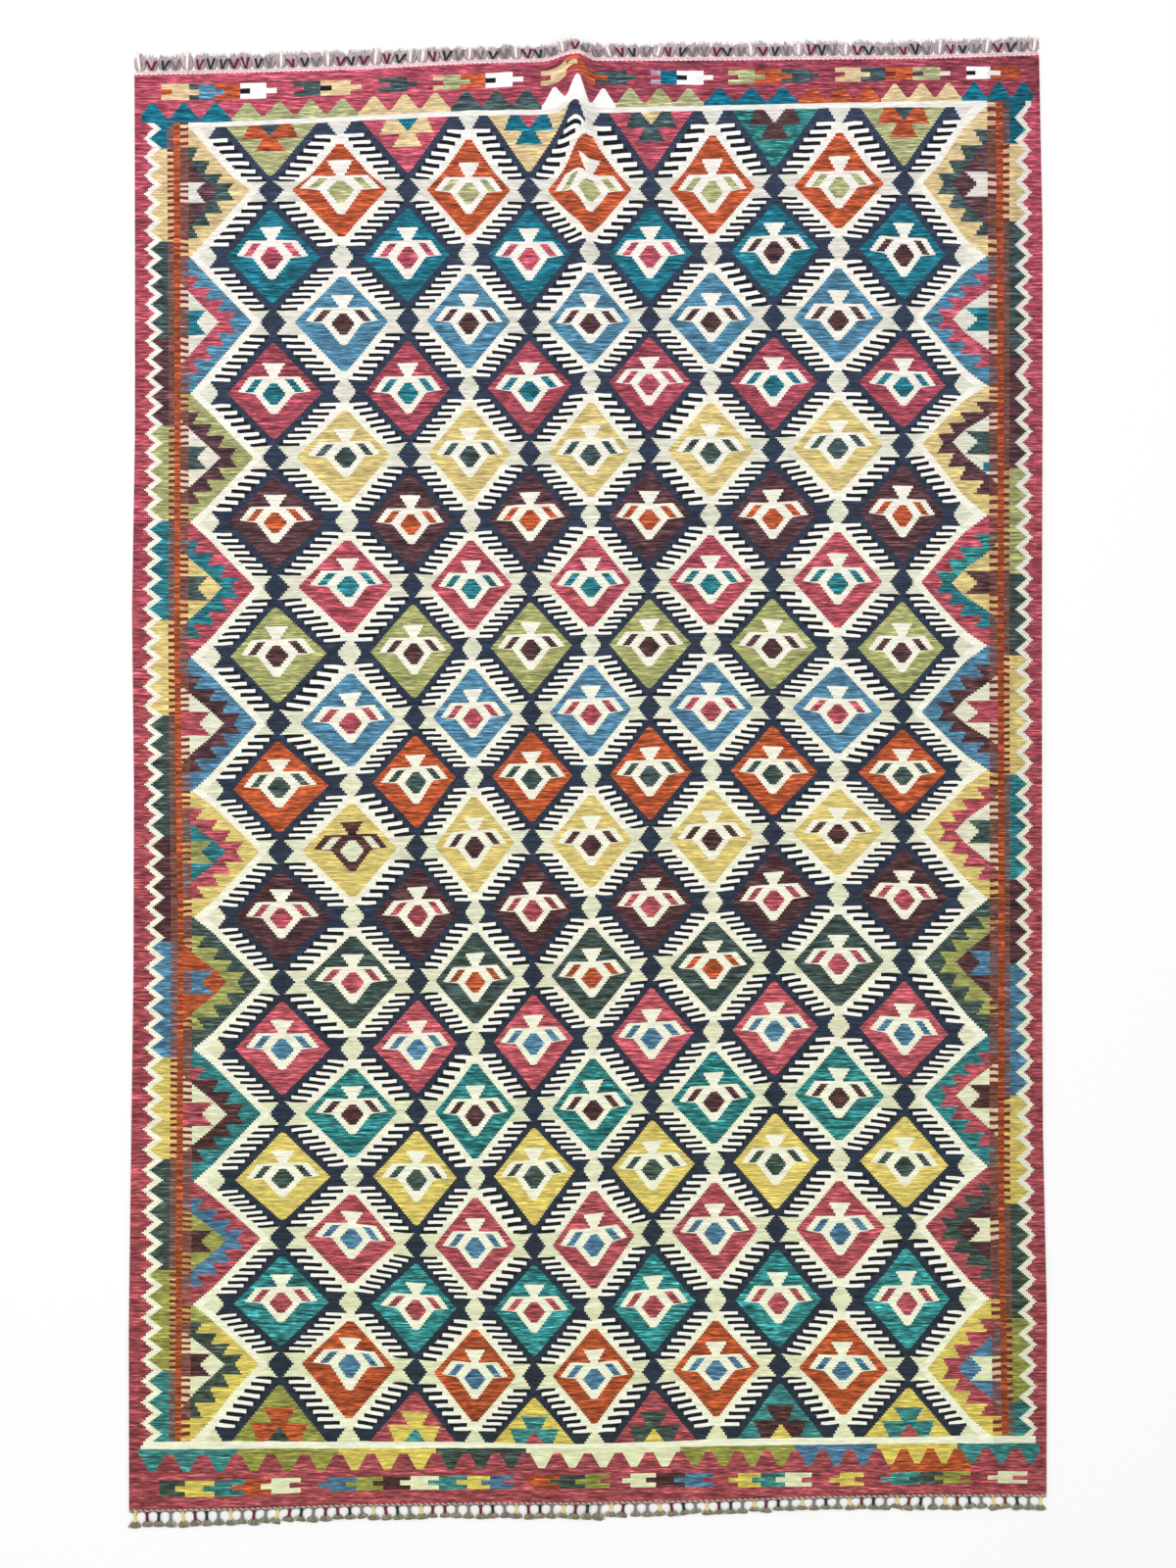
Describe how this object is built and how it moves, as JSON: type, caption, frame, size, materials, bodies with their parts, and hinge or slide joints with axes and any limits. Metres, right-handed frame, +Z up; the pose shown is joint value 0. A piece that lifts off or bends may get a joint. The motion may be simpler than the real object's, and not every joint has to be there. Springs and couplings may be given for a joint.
{
  "type": "kilim rug",
  "caption": "Flat-woven wool rug with a lattice of diamonds, serrated side borders and wrapped tassels along both ends, lying flat but for one soft fold.",
  "frame": {"origin": "on the floor, under the middle of the rug's box, fringes included", "axes": "+X across the rug to the right as seen from above, +Y along it towards the head end with the fold, +Z up out of its face"},
  "size_m": [1.9662, 3.1996, 0.043],
  "materials": {
    "woven_wool": "matt weft-faced wool, many colours",
    "warp_fringe": "undyed warp yarn, wrapped in coloured wool"
  },
  "bodies": {
    "root": {"kilim_cloth": "woven_wool", "fringe_head": "warp_fringe", "fringe_foot": "warp_fringe"}
  },
  "joints": []
}
